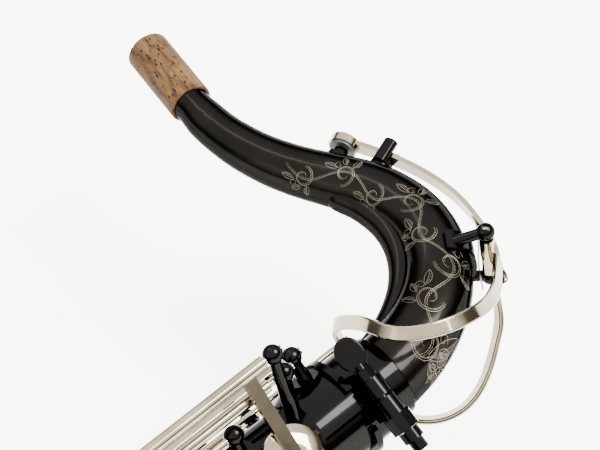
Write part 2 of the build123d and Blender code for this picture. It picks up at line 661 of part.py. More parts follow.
def pad_cup(seat, radius):
    """Domed key cup that faces its tone hole, on the seat plane."""
    with BuildPart() as cup:
        with BuildSketch(Plane.XZ) as half:
            with BuildLine():
                Polyline((0, CUP_HEIGHT + 0.9), (0, 0.6), (radius, 0.6), (radius, CUP_HEIGHT - 0.8))
                ThreePointArc((radius, CUP_HEIGHT - 0.8), (radius * 0.8, CUP_HEIGHT + 0.35),
                              (0, CUP_HEIGHT + 0.9))
            make_face()
        revolve(axis=Axis.Z)
        with BuildSketch(Plane.XY) as pocket:
            Circle(radius - 0.9)
        extrude(pocket.sketch, amount=PAD_THICK, mode=Mode.SUBTRACT)
    return cup.part.moved(Location(seat))


def pad_disc(seat, radius):
    """Pad that fills the cup and stands a little out of it."""
    with BuildPart() as pad:
        Cylinder(radius - 0.9, PAD_THICK, align=(Align.CENTER, Align.CENTER, Align.MIN))
    return pad.part.moved(Location(seat))


def key(hole, seat, line, ends, touch):
    """One key, closed: hinge tube, arm, cup and pad, and its touch piece."""
    x, phi, bore = hole
    radius = bore / 2 + CUP_RIM
    crown = seat.origin + seat.z_dir * (CUP_HEIGHT + 0.6)
    with BuildPart() as metal:
        tube_x(max(ends), min(ends), *line, KEY_TUBE_R)
        strap(x, ARM_WIDTH, line, (crown.Y, crown.Z), ARM_THICK)
        add(pad_cup(seat, radius))
        if touch and touch[0] == "pearl":
            with BuildSketch(seat.offset(CUP_HEIGHT - 0.5)) as holder:
                Circle(8.2)
            extrude(holder.sketch, amount=4.2)
            with BuildSketch(seat.offset(CUP_HEIGHT + 2.7)) as pearl_seat:
                Circle(7.2)
            extrude(pearl_seat.sketch, amount=2, mode=Mode.SUBTRACT)
        elif touch:
            spot = polar(*touch[2:])
            strap(touch[1], ARM_WIDTH, line, spot, ARM_THICK)
            with BuildSketch(radial(touch[1], touch[2], touch[3])) as plate:
                SlotOverall(22, 11)
            extrude(plate.sketch, amount=1.8)
        with BuildSketch(across(min(ends) - 1, *line)) as bore_section:
            Circle(KEY_BORE_R)
        extrude(bore_section.sketch, amount=max(ends) - min(ends) + 2, mode=Mode.SUBTRACT)
    return [metal.part, pad_disc(seat, radius)]


joints = {}                      # key name: (point on the hinge, opening axis, opening in degrees)


def place_key(name, solids, line, sign, lift, place):
    """Open the keys that stand open, put the key on its host and keep its hinge."""
    if name in OPEN_AT_REST:
        hinge = Axis((0, *line), (1, 0, 0))
        solids = [solid.rotate(hinge, sign * lift) for solid in solids]
    solids = [solid.moved(place) for solid in solids]
    start = (place * Location((0, *line))).position
    end = (place * Location((sign, *line))).position
    joints[name] = (start, end - start, lift)
    finish(Compound(children=solids), name)


for name, (line_name, x0, x1, touch, lift) in BODY_KEYS.items():
    hole_x, hole_phi, hole_bore = BODY_HOLES[name]
    seat = radial(hole_x, hole_phi, body_radius(hole_x) + CHIMNEY_HEIGHT + PAD_GAP)
    line = LINES[line_name]
    sign = opening_sign(line, (seat.origin.Y, seat.origin.Z), seat.z_dir)
    solids = key(BODY_HOLES[name], seat, line, (x0, x1), touch)
    place_key(name, solids, line, sign, lift, Location())

for name, (line_name, x0, x1, touch, lift) in BELL_KEYS.items():
    hole_x, hole_phi, hole_bore = BELL_HOLES[name]
    seat = radial(hole_x, hole_phi, bell_radius(hole_x) + CHIMNEY_HEIGHT + PAD_GAP)
    line = BELL_LINES[line_name]
    sign = opening_sign(line, (seat.origin.Y, seat.origin.Z), seat.z_dir)
    solids = key(BELL_HOLES[name], seat, line, (x0, x1), touch)
    place_key(name, solids, line, sign, lift, bell_place)

# Low C, on the bow; it faces +Z.
LOW_C_ENDS, LOW_C_LIFT = (-506.0, -634.0), 6
low_c_seat = Plane(origin=(low_c_centre.X, low_c_centre.Y, low_c_radius + CHIMNEY_HEIGHT + PAD_GAP),
                   x_dir=(1, 0, 0), z_dir=(0, 0, 1))
low_c_solids = key((low_c_centre.X, 0, LOW_C_BORE), low_c_seat, LINES["low_c"], LOW_C_ENDS,
                   ("spatula", -512, 18, 53))
place_key("low_c_key", low_c_solids, LINES["low_c"],
          opening_sign(LINES["low_c"], (low_c_centre.Y, low_c_seat.origin.Z), low_c_seat.z_dir),
          LOW_C_LIFT, Location())

# Thumb octave lever: its pin pushes the neck key's loop outwards from inside.
LEVER_LINE, LEVER_ENDS, REACH_AT = LINES["palm"], (-36.8, -66.2), (20.6, -1.5)
with BuildPart() as octave_lever:
    tube_x(*LEVER_ENDS, *LEVER_LINE, KEY_TUBE_R)
    strap(-42, 4, LEVER_LINE, REACH_AT, 2.4)
    with BuildSketch(across(-44, *REACH_AT)) as reach_bar:
        RectangleRounded(2.0, 3.6, 0.8)
    extrude(reach_bar.sketch, amount=53)
    strap(-56, 4, LEVER_LINE, (30.5, -19.5), 2.4)
    with BuildSketch(radial(-56, 237, 35.5)) as lever_plate:
        SlotOverall(20, 12)
    extrude(lever_plate.sketch, amount=2)
    with BuildSketch(across(-67.2, *LEVER_LINE)) as lever_bore:
        Circle(KEY_BORE_R)
    extrude(lever_bore.sketch, amount=32, mode=Mode.SUBTRACT)
finish(octave_lever.part, "octave_lever")

# ---------------------------------------------------------------- posts and hinge rods
# Posts: hinge line, x of the ball, angle of the foot round the tube, x of the foot. A foot with no
# angle stands straight under its ball.
BODY_POSTS = [
    ("high", -28.7, 0, -30), ("high", -333, -50, -333),
    ("side", -185, -60, -185), ("side", -354, -50, -354), ("low_side", -51.5, None, -51.5),
    ("low_side", -322, None, -322), ("octave", -17.5, None, -17.5), ("octave", -126, None, -126),
    ("palm", -33, None, -34), ("palm", -70, None, -70), ("palm", -98.5, None, -98.5),
    ("palm", -135, None, -135), ("palm", -169, None, -169), ("upper_stack", -148, None, -148),
    ("upper_stack", -254.5, None, -254.5), ("upper_stack", -292, None, -292),
    ("lower_stack", -324, None, -324), ("lower_stack", -404, None, -404),
    ("lower_stack", -494, None, -494), ("g_sharp", -292.5, None, -292.5),
    ("g_sharp", -319.5, None, -319.5), ("low_eb", -470, None, -470), ("low_eb", -548, None, -548),
    ("low_c", -502, None, -502),
]
# Balls that share another post's foot or stand on the bow.
EXTRA_BALLS = [("side", -26.8), ("low_c", -638)]
BELL_POSTS = [("low_bb", 120, None, 120), ("low_bb", 212, None, 212), ("low_b", 58, None, 58),
              ("low_b", 194, None, 194), ("low_cs", 16, None, 16), ("low_cs", 74, None, 74)]
FOOT_R, FOOT_HEIGHT = 5.2, 1.3


def foot_angle(line, angle):
    """Angle of a post's foot round the tube: as given, or straight under its ball."""
    return degrees(atan2(-line[0], line[1])) if angle is None else angle


def post(line, x, foot, foot_normal):
    """Ball-ended post from a point on the tube's surface to the hinge line."""
    ball = Vector(x, *line)
    rise = (ball - foot).normalized()
    with BuildSketch(Plane(origin=foot - foot_normal * 3, x_dir=(1, 0, 0), z_dir=foot_normal)) as base:
        Circle(FOOT_R)
    extrude(base.sketch, amount=3 + FOOT_HEIGHT)
    with BuildSketch(Plane(origin=foot, x_dir=(1, 0, 0), z_dir=rise)) as root:
        Circle(POST_R + 0.9)
    with BuildSketch(Plane(origin=ball - rise * (ROD_R + 0.7), x_dir=(1, 0, 0), z_dir=rise)) as top:
        Circle(POST_R)
    loft([root.sketch, top.sketch])
    with BuildSketch(Plane(origin=ball, x_dir=(1, 0, 0), z_dir=Vector(1, 0, 0).cross(rise))) as ball_half:
        Circle(BALL_R)
        with Locations((0, ROD_R - 1.5 * BALL_R)):
            Rectangle(3 * BALL_R, 3 * BALL_R, mode=Mode.SUBTRACT)
    revolve(ball_half.sketch, axis=Axis(ball, (1, 0, 0)))


body_post_solids = []
for line_name, x, foot_phi, foot_x in BODY_POSTS:
    foot_r = SLEEVE_R if foot_x > -SLEEVE_LENGTH + 4 else body_radius(foot_x)
    foot_phi = foot_angle(LINES[line_name], foot_phi)
    foot = Vector(foot_x, *polar(foot_phi, foot_r))
    with BuildPart() as body_post:
        post(LINES[line_name], x, foot, outward(foot_phi))
        if (line_name, foot_x) == ("high", -30):
            post(LINES["side"], EXTRA_BALLS[0][1], foot, outward(foot_phi))
            with BuildSketch(across(x - 8, *LINES["side"])) as side_rod_bore:
                Circle(ROD_R)
            extrude(side_rod_bore.sketch, amount=16, mode=Mode.SUBTRACT)
        add(body_outline.part, mode=Mode.SUBTRACT)
        with BuildSketch(across(-SLEEVE_LENGTH)) as sleeve_outline:
            Circle(SLEEVE_R)
        extrude(sleeve_outline.sketch, amount=SLEEVE_LENGTH, mode=Mode.SUBTRACT)
    body_post_solids += body_post.part.solids()
finish(Compound(children=body_post_solids), "body_posts")

bell_post_solids = []
for line_name, x, foot_phi, foot_x in BELL_POSTS:
    foot_phi = foot_angle(BELL_LINES[line_name], foot_phi)
    foot = Vector(foot_x, *polar(foot_phi, bell_radius(foot_x)))
    with BuildPart() as bell_post:
        post(BELL_LINES[line_name], x, foot, outward(foot_phi))
        add(bell_outline.part, mode=Mode.SUBTRACT)
    bell_post_solids += bell_post.part.solids()
finish(Compound(children=bell_post_solids).moved(bell_place), "bell_posts")

with BuildPart() as bow_post:
    post(LINES["low_c"], EXTRA_BALLS[1][1], Vector(-634, -18, 22), Vector(0, 0, 1))
    add(bow_filled.part, mode=Mode.SUBTRACT)
finish(bow_post.part, "bow_post")

# One rod for each hinge line, from its first ball to its last.
with BuildPart() as hinge_rods:
    for line_name, line in LINES.items():
        spots = [x for post_line, x, _, _ in BODY_POSTS if post_line == line_name]
        spots += [x for post_line, x in EXTRA_BALLS if post_line == line_name]
        tube_x(max(spots) + BALL_R + 0.2, min(spots) - BALL_R - 0.2, *line, ROD_R)
finish(hinge_rods.part, "hinge_rods")
with BuildPart() as bell_hinge_rods:
    for line_name, line in BELL_LINES.items():
        spots = [x for post_line, x, _, _ in BELL_POSTS if post_line == line_name]
        tube_x(max(spots) + BALL_R + 0.2, min(spots) - BALL_R - 0.2, *line, ROD_R)
finish(bell_hinge_rods.part.moved(bell_place), "bell_hinge_rods")

# ---------------------------------------------------------------- guards, hook, rest and strap ring
LEG_R, GUARD_RISE, GUARD_RING_R = 1.7, 19.0, 13.0


def guard_leg(host_x, y, top, bottom):
    """Upright leg of a key guard."""
    with BuildSketch(Plane(origin=(host_x, y, bottom))) as leg:
        Circle(LEG_R)
    extrude(leg.sketch, amount=top - bottom)


def guard_arm(start, end, height):
    """Flat arm of a key guard between two (x, y) points."""
    run = (end[0] - start[0], end[1] - start[1])
    with BuildSketch(Plane(origin=((start[0] + end[0]) / 2, (start[1] + end[1]) / 2, height))) as arm:
        SlotCenterToCenter(hypot(*run), 4.4, rotation=degrees(atan2(run[1], run[0])))
    extrude(arm.sketch, amount=2)


def guard_ring(x, y, height):
    """Ring that holds the felt over the middle of a cup."""
    with BuildSketch(Plane(origin=(x, y, height))) as ring:
        Circle(GUARD_RING_R)
        Circle(GUARD_RING_R - 3.5, mode=Mode.SUBTRACT)
    extrude(ring.sketch, amount=2.4)


bell_guard_z = bell_radius(150) + CHIMNEY_HEIGHT + GUARD_RISE
BELL_GUARD_LEGS = {86: [(54, 0), (86, -33), (118, 0)], 150: [(118, 0), (150, -33), (182, 0)]}
with BuildPart() as bell_key_guard:
    for ring_x, legs in BELL_GUARD_LEGS.items():
        for leg_x, leg_y in legs:
            run = Vector(leg_x - ring_x, leg_y, 0).normalized() * (GUARD_RING_R - 1)
            guard_arm((ring_x + run.X, run.Y), (leg_x, leg_y), bell_guard_z)
            guard_leg(leg_x, leg_y, bell_guard_z + 2, 22)
        guard_ring(ring_x, 0, bell_guard_z)
    add(bell_outline.part, mode=Mode.SUBTRACT)
finish(bell_key_guard.part.moved(bell_place), "bell_key_guard")
with BuildPart() as bell_guard_felts:
    for ring_x in BELL_GUARD_LEGS:
        with BuildSketch(Plane(origin=(ring_x, 0, bell_guard_z - 1.5))) as felt:
            Circle(GUARD_RING_R - 3.5)
        extrude(felt.sketch, amount=5)
finish(bell_guard_felts.part.moved(bell_place), "bell_guard_felts")

low_c_guard_z = low_c_seat.origin.Z + GUARD_RISE - 3
low_c_x, low_c_y = low_c_centre.X, low_c_centre.Y
with BuildPart() as low_c_guard:
    for leg_x, leg_y in ((low_c_x - 27, low_c_y - 6), (low_c_x, low_c_y - 28), (low_c_x + 27, low_c_y - 6)):
        run = Vector(leg_x - low_c_x, leg_y - low_c_y, 0).normalized() * (GUARD_RING_R - 1)
        guard_arm((low_c_x + run.X, low_c_y + run.Y), (leg_x, leg_y), low_c_guard_z)
        guard_leg(leg_x, leg_y, low_c_guard_z + 2, 8)
    guard_ring(low_c_x, low_c_y, low_c_guard_z)
    add(bow_filled.part, mode=Mode.SUBTRACT)
finish(low_c_guard.part, "low_c_guard")
with BuildPart() as low_c_felt:
    with BuildSketch(Plane(origin=(low_c_x, low_c_y, low_c_guard_z - 1.5))) as low_c_felt_disc:
        Circle(GUARD_RING_R - 3.5)
    extrude(low_c_felt_disc.sketch, amount=5)
finish(low_c_felt.part, "low_c_felt")

STRAP_RING_X, STRAP_HOLE_R, STRAP_RING_R, STRAP_RING_THICK = -250.0, 5.5, 9.0, 4.0
strap_ring_y = body_radius(STRAP_RING_X) + STRAP_RING_R + 1
with BuildPart() as strap_ring:
    with BuildSketch(Plane.XY.offset(-STRAP_RING_THICK / 2)) as ring_section:
        with Locations((STRAP_RING_X, strap_ring_y)):
            Circle(STRAP_RING_R)
    extrude(ring_section.sketch, amount=STRAP_RING_THICK)
    with BuildSketch(Plane(origin=(STRAP_RING_X, 10, 0), x_dir=(1, 0, 0), z_dir=(0, 1, 0))) as ring_plate:
        SlotOverall(34, 14)
    extrude(ring_plate.sketch, amount=body_radius(STRAP_RING_X) - 8.6)
    with BuildSketch(Plane.XY.offset(-STRAP_RING_THICK)) as ring_hole:
        with Locations((STRAP_RING_X, strap_ring_y)):
            Circle(STRAP_HOLE_R)
    extrude(ring_hole.sketch, amount=2 * STRAP_RING_THICK, mode=Mode.SUBTRACT)
    add(body_filled, mode=Mode.SUBTRACT)
finish(strap_ring.part, "strap_ring")

HOOK_X = -345.0
hook_y = body_radius(HOOK_X)
with BuildPart() as thumb_hook:
    with BuildSketch(Plane.XY) as hook_outline:
        with BuildLine():
            hook_stem = Line((HOOK_X + 18, hook_y + 1.8), (HOOK_X + 18, hook_y + 9))
            TangentArc(hook_stem @ 1, (HOOK_X + 4, hook_y + 23), tangent=(0, 1))
            Line((HOOK_X + 4, hook_y + 23), (HOOK_X - 6, hook_y + 23))
        trace(line_width=2.6)
    extrude(hook_outline.sketch, amount=8, both=True)
    with BuildSketch(Plane(origin=(HOOK_X + 14, 12, 0), x_dir=(1, 0, 0), z_dir=(0, 1, 0))) as hook_base:
        SlotOverall(34, 17)
    extrude(hook_base.sketch, amount=hook_y - 10)
    add(body_filled, mode=Mode.SUBTRACT)
finish(thumb_hook.part, "thumb_hook")

REST_X = -206.0
with BuildPart() as thumb_rest:
    with BuildSketch(Plane(origin=(REST_X, 8, 0), x_dir=(1, 0, 0), z_dir=(0, 1, 0))) as rest_disc:
        Circle(9.5)
    extrude(rest_disc.sketch, amount=body_radius(REST_X) - 4.5)
    fillet(thumb_rest.faces().sort_by(Axis.Y)[-1].edges(), 1.4)
    add(body_filled, mode=Mode.SUBTRACT)
finish(thumb_rest.part, "thumb_rest")

# ---------------------------------------------------------------- move to the origin and export
boxes = [piece.bounding_box() for piece in pieces]
low = Vector(min(b.min.X for b in boxes), min(b.min.Y for b in boxes), min(b.min.Z for b in boxes))
high = Vector(max(b.max.X for b in boxes), max(b.max.Y for b in boxes), max(b.max.Z for b in boxes))
to_origin = Location((-(low.X + high.X) / 2, -(low.Y + high.Y) / 2, -low.Z))
os.makedirs("parts", exist_ok=True)
for piece in pieces:
    piece.move(to_origin)
    export_step(piece, f"parts/{piece.label}.step")
print("pieces", len(pieces), "size", high - low, "origin at", to_origin.position)
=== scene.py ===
import json
import math

import bpy
from mathutils import Matrix, Vector

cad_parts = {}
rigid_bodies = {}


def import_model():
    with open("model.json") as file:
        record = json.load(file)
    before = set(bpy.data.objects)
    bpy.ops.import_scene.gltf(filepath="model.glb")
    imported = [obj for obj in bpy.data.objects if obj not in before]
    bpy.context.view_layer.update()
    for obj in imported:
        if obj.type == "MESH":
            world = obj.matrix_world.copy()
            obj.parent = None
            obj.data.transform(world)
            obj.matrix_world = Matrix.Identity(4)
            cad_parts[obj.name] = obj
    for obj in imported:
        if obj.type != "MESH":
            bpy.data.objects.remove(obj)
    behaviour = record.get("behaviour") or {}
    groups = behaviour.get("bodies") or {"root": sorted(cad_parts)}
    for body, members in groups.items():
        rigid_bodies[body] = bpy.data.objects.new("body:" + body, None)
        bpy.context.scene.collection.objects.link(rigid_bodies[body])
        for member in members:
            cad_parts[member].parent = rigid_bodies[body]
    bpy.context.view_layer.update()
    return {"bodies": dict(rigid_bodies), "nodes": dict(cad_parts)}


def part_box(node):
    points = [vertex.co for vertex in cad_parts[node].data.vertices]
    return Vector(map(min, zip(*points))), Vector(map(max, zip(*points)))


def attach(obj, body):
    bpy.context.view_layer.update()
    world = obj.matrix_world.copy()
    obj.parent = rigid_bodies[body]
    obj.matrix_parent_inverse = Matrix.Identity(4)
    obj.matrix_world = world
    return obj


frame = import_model()
nodes = frame["nodes"]

MM = 0.001
# Centre of the neck receiver's rim, on the main tube's axis, in the row frame (metres).
ring_low, ring_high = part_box("body_bow_ring")
RIM = Vector((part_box("neck_receiver")[1][0],
              (ring_low[1] + ring_high[1]) / 2, (ring_low[2] + ring_high[2]) / 2))


# ---------------------------------------------------------------- camera
# Solved from the photograph: the view's axes, and the camera's place along them from the look-at point.
LENS_MM, SENSOR_MM = 152.5, 36
LOOK_AT = RIM + Vector((0.015, 0, 0))
ALONG_RIGHT, ALONG_UP, ALONG_BACK = -0.03395, 0.04582, 0.850
RIGHT = Vector((0.752, -0.648, -0.122)).normalized()
BACK = Vector((-0.324, -0.525, 0.787)).normalized()
UP = BACK.cross(RIGHT).normalized()
RIGHT = UP.cross(BACK)
camera_data = bpy.data.cameras.new("camera")
camera_data.lens = LENS_MM
camera_data.sensor_width = SENSOR_MM
camera_data.clip_start = 0.01
camera = bpy.data.objects.new("camera", camera_data)
bpy.context.scene.collection.objects.link(camera)
camera_at = LOOK_AT + RIGHT * ALONG_RIGHT + UP * ALONG_UP + BACK * ALONG_BACK
camera.matrix_world = Matrix.Translation(camera_at) @ Matrix((RIGHT, UP, BACK)).transposed().to_4x4()
bpy.context.scene.camera = camera


# ---------------------------------------------------------------- materials
def new_material(name):
    """New node material with only a shader and its output: (material, tree, shader)."""
    material = bpy.data.materials.new(name)
    material.use_nodes = True
    tree = material.node_tree
    tree.nodes.clear()
    shader = tree.nodes.new("ShaderNodeBsdfPrincipled")
    output = tree.nodes.new("ShaderNodeOutputMaterial")
    tree.links.new(shader.outputs[0], output.inputs["Surface"])
    return material, tree, shader


def node(tree, kind, **inputs):
    """New node with its input values set by name (spaces as _)."""
    made = tree.nodes.new(kind)
    for key, value in inputs.items():
        made.inputs[key.replace("_", " ")].default_value = value
    return made


def mapped(tree, scale=(1, 1, 1), rotation=(0, 0, 0)):
    """Object coordinates in millimetres, turned first and then scaled."""
    coords = tree.nodes.new("ShaderNodeTexCoord")
    turn = node(tree, "ShaderNodeMapping", Rotation=rotation)
    stretch = node(tree, "ShaderNodeMapping", Scale=tuple(1000 * v for v in scale))
    tree.links.new(coords.outputs["Object"], turn.inputs["Vector"])
    tree.links.new(turn.outputs["Vector"], stretch.inputs["Vector"])
    return stretch.outputs["Vector"]


def noise(tree, vector, scale, detail=4.0, roughness=0.55):
    made = node(tree, "ShaderNodeTexNoise", Scale=scale, Detail=detail, Roughness=roughness)
    tree.links.new(vector, made.inputs["Vector"])
    return made.outputs["Fac"]


def ramp(tree, value, stops):
    """Colour ramp through (position, colour) stops."""
    made = tree.nodes.new("ShaderNodeValToRGB")
    elements = made.color_ramp.elements
    while len(elements) < len(stops):
        elements.new(0.5)
    for element, (position, colour) in zip(elements, stops):
        element.position = position
        element.color = (*colour, 1)
    tree.links.new(value, made.inputs["Fac"])
    return made.outputs["Color"]


def spread(tree, value, low, high, from_low=0.3, from_high=0.7):
    """Value mapped from its usual range to low..high."""
    made = tree.nodes.new("ShaderNodeMapRange")
    ends = {"From Min": from_low, "From Max": from_high, "To Min": low, "To Max": high}
    for name, number in ends.items():
        made.inputs[name].default_value = number
    tree.links.new(value, made.inputs["Value"])
    return made.outputs["Result"]


def bump(tree, shader, height, strength, distance):
    """Bump from a height socket, up to a distance in metres."""
    made = node(tree, "ShaderNodeBump", Strength=strength, Distance=distance)
    tree.links.new(height, made.inputs["Height"])
    tree.links.new(made.outputs["Normal"], shader.inputs["Normal"])


# Sockets of a Mix node set to colours: its factor, its two colours and its result.
MIX_FACTOR, MIX_FIRST, MIX_SECOND, MIX_RESULT = 0, 6, 7, 2


def mix(tree, factor, first, second, kind="MIX"):
    """Two colours mixed or multiplied; the factor is a number or a socket."""
    made = tree.nodes.new("ShaderNodeMix")
    made.data_type = "RGBA"
    made.blend_type = kind
    if isinstance(factor, float):
        made.inputs[MIX_FACTOR].default_value = factor
    else:
        tree.links.new(factor, made.inputs[MIX_FACTOR])
    tree.links.new(first, made.inputs[MIX_FIRST])
    tree.links.new(second, made.inputs[MIX_SECOND])
    return made.outputs[MIX_RESULT]


def plated(name, dark, light, rough, metallic=1.0, coat=0.0, haze=0.06, streak=(1, 1, 1),
           edge=1.0):
    """Plated and polished metal: cloudy tone, fingered haze and fine polishing lines.

    The edge is how much of the reflection is left at a glancing angle.
    """
    material, tree, shader = new_material(name)
    vector = mapped(tree)
    cloud = noise(tree, vector, 0.06, 5)
    tree.links.new(ramp(tree, cloud, [(0.32, dark), (0.7, light)]), shader.inputs["Base Color"])
    lines = noise(tree, mapped(tree, streak), 1.1, 3)
    smear = noise(tree, vector, 0.12, 3, 0.5)
    both = mix(tree, 0.15, smear, lines)
    tree.links.new(spread(tree, both, rough - haze, rough + haze), shader.inputs["Roughness"])
    shader.inputs["Metallic"].default_value = metallic
    shader.inputs["Coat Weight"].default_value = coat
    shader.inputs["Coat Roughness"].default_value = 0.06
    shader.inputs["Specular Tint"].default_value = (edge, edge, edge, 1)
    bump(tree, shader, smear, 0.05, 0.00004)
    return material


black_nickel = plated("black_nickel", (0.0034, 0.0029, 0.0024), (0.0062, 0.0053, 0.0044), 0.25,
                      coat=0.06, haze=0.04, edge=0.35)
black_gloss = plated("black_gloss", (0.0016, 0.0015, 0.0013), (0.0036, 0.0032, 0.0028), 0.12,
                     coat=0.10, haze=0.03, edge=0.45)
nickel = plated("nickel", (0.165, 0.138, 0.090), (0.27, 0.232, 0.163), 0.10,
                haze=0.04, streak=(0.3, 2.2, 2.2))
steel = plated("steel", (0.18, 0.17, 0.145), (0.27, 0.255, 0.22), 0.14,
               haze=0.05, streak=(0.1, 3, 3))
engraved = plated("engraved", (0.055, 0.048, 0.036), (0.155, 0.135, 0.10), 0.42, haze=0.08)


def cork_material():
    """Cork sheet: grain along the sleeve, darker blots, and dark pores in patches."""
    material, tree, shader = new_material("cork")
    along_sleeve = (0, 0, math.radians(-81))
    grain = noise(tree, mapped(tree, (0.22, 1, 1), along_sleeve), 0.55, 7, 0.62)
    base = ramp(tree, grain, [(0.34, (0.020, 0.009, 0.0028)), (0.44, (0.047, 0.023, 0.0075)),
                              (0.53, (0.072, 0.038, 0.0130)), (0.64, (0.090, 0.050, 0.0185)),
                              (0.78, (0.042, 0.020, 0.0065))])
    blot = noise(tree, mapped(tree, (0.5, 1, 1), along_sleeve), 0.24, 4)
    tone = ramp(tree, blot, [(0.36, (0.70, 0.66, 0.62)), (0.60, (1.0, 1.0, 1.0))])
    cells = node(tree, "ShaderNodeTexVoronoi", Scale=0.50, Randomness=1.0)
    tree.links.new(mapped(tree, (0.6, 1.5, 1.5), along_sleeve), cells.inputs["Vector"])
    pores = ramp(tree, cells.outputs["Distance"],
                 [(0.24, (0.06, 0.035, 0.025)), (0.33, (1.0, 1.0, 1.0))])
    where = ramp(tree, noise(tree, mapped(tree, (0.6, 1, 1), along_sleeve), 0.5, 2),
                 [(0.42, (0.0, 0.0, 0.0)), (0.47, (1.0, 1.0, 1.0))])
    specks = mix(tree, where, tone, pores, "MULTIPLY")
    tree.links.new(mix(tree, 1.0, base, specks, "MULTIPLY"), shader.inputs["Base Color"])
    tree.links.new(spread(tree, grain, 0.62, 0.86), shader.inputs["Roughness"])
    shader.inputs["Specular IOR Level"].default_value = 0.12
    bump(tree, shader, mix(tree, 0.6, grain, pores), 0.45, 0.0002)
    return material


def soft_material(name, stops, rough, scale, strength=0.4, distance=0.0002):
    """Leather, felt or rubber: mottled tone over a fine grain."""
    material, tree, shader = new_material(name)
    vector = mapped(tree)
    tree.links.new(ramp(tree, noise(tree, vector, 0.35, 5), stops), shader.inputs["Base Color"])
    grain = noise(tree, vector, scale, 6, 0.7)
    tree.links.new(spread(tree, grain, rough - 0.12, rough + 0.12), shader.inputs["Roughness"])
    bump(tree, shader, grain, strength, distance)
    return material


cork = cork_material()
pad_black = soft_material("pad_black", [(0.3, (0.012, 0.012, 0.012)), (0.7, (0.03, 0.029, 0.028))],
                          0.5, 2.2)
leather = soft_material("leather", [(0.3, (0.17, 0.075, 0.03)), (0.7, (0.30, 0.15, 0.07))], 0.48, 2.8)
felt = soft_material("felt", [(0.3, (0.016, 0.016, 0.018)), (0.7, (0.045, 0.045, 0.05))], 0.88, 5.0, 0.9)


def pearl_material():
    """Mother of pearl: soft bands of cream, rose and green under a clear gloss."""
    material, tree, shader = new_material("pearl")
    bands = noise(tree, mapped(tree, (0.5, 1.3, 1)), 0.42, 5, 0.6)
    tree.links.new(ramp(tree, bands, [(0.30, (0.60, 0.60, 0.56)), (0.44, (0.82, 0.77, 0.74)),
                                      (0.56, (0.66, 0.75, 0.74)), (0.72, (0.88, 0.86, 0.80))]),
                   shader.inputs["Base Color"])
    tree.links.new(spread(tree, bands, 0.14, 0.30), shader.inputs["Roughness"])
    shader.inputs["Coat Weight"].default_value = 0.5
    shader.inputs["Coat Roughness"].default_value = 0.05
    bump(tree, shader, bands, 0.15, 0.0002)
    return material


pearl = pearl_material()

GLOSS_NODES = {"body_tube", "clamp_screw", "lyre_screw", "neck_receiver", "body_posts", "bow_post",
               "bell_posts", "octave_saddle", "octave_guide", "octave_pip", "neck_collar",
               "receiver_band"}
STEEL_NODES = {"hinge_rods", "bell_hinge_rods", "octave_hinge_rod", "octave_spring"}
key_bodies = [name for name in frame["bodies"] if name.endswith("_key")]
node_finish = {}
for name in nodes:
    if name == "neck_cork":
        node_finish[name] = cork
    elif name == "octave_pad":
        node_finish[name] = pad_black
    elif "felt" in name:
        node_finish[name] = felt
    elif name in STEEL_NODES:
        node_finish[name] = steel
    elif name.endswith("_key") or name == "octave_lever":
        node_finish[name] = nickel
    elif name in GLOSS_NODES:
        node_finish[name] = black_gloss
    else:
        node_finish[name] = black_nickel
for name, finish in node_finish.items():
    for place in nodes[name].material_slots:
        place.link = "OBJECT"
        place.material = finish


# ---------------------------------------------------------------- mesh helpers
def add_mesh(name, points, faces, body, finish):
    """New smooth piece in the row frame, riding on a body."""
    mesh = bpy.data.meshes.new(name)
    mesh.from_pydata([tuple(p) for p in points], [], faces)
    mesh.polygons.foreach_set("use_smooth", [True] * len(mesh.polygons))
    mesh.update()
    piece = bpy.data.objects.new(name, mesh)
    bpy.context.scene.collection.objects.link(piece)
    mesh.materials.append(finish)
    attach(piece, body)
    return piece


def turned(name, centre, axis, profile, body, finish, steps=48):
    """Lathe (radius, height) points about an axis through centre."""
    axis = axis.normalized()
    side = axis.orthogonal().normalized()
    across = axis.cross(side)
    points, faces, rings = [], [], []
    for radius, height in profile:
        if radius == 0:
            points.append(centre + axis * height)
            rings.append([len(points) - 1] * steps)
            continue
        start = len(points)
        for k in range(steps):
            turn = 2 * math.pi * k / steps
            out = side * math.cos(turn) + across * math.sin(turn)
            points.append(centre + axis * height + out * radius)
        rings.append([start + k for k in range(steps)])
    for lower, upper in zip(rings, rings[1:]):
        for k in range(steps):
            corners = [lower[k], lower[(k + 1) % steps], upper[(k + 1) % steps], upper[k]]
            faces.append(list(dict.fromkeys(corners)))
    return add_mesh(name, points, faces, body, finish)


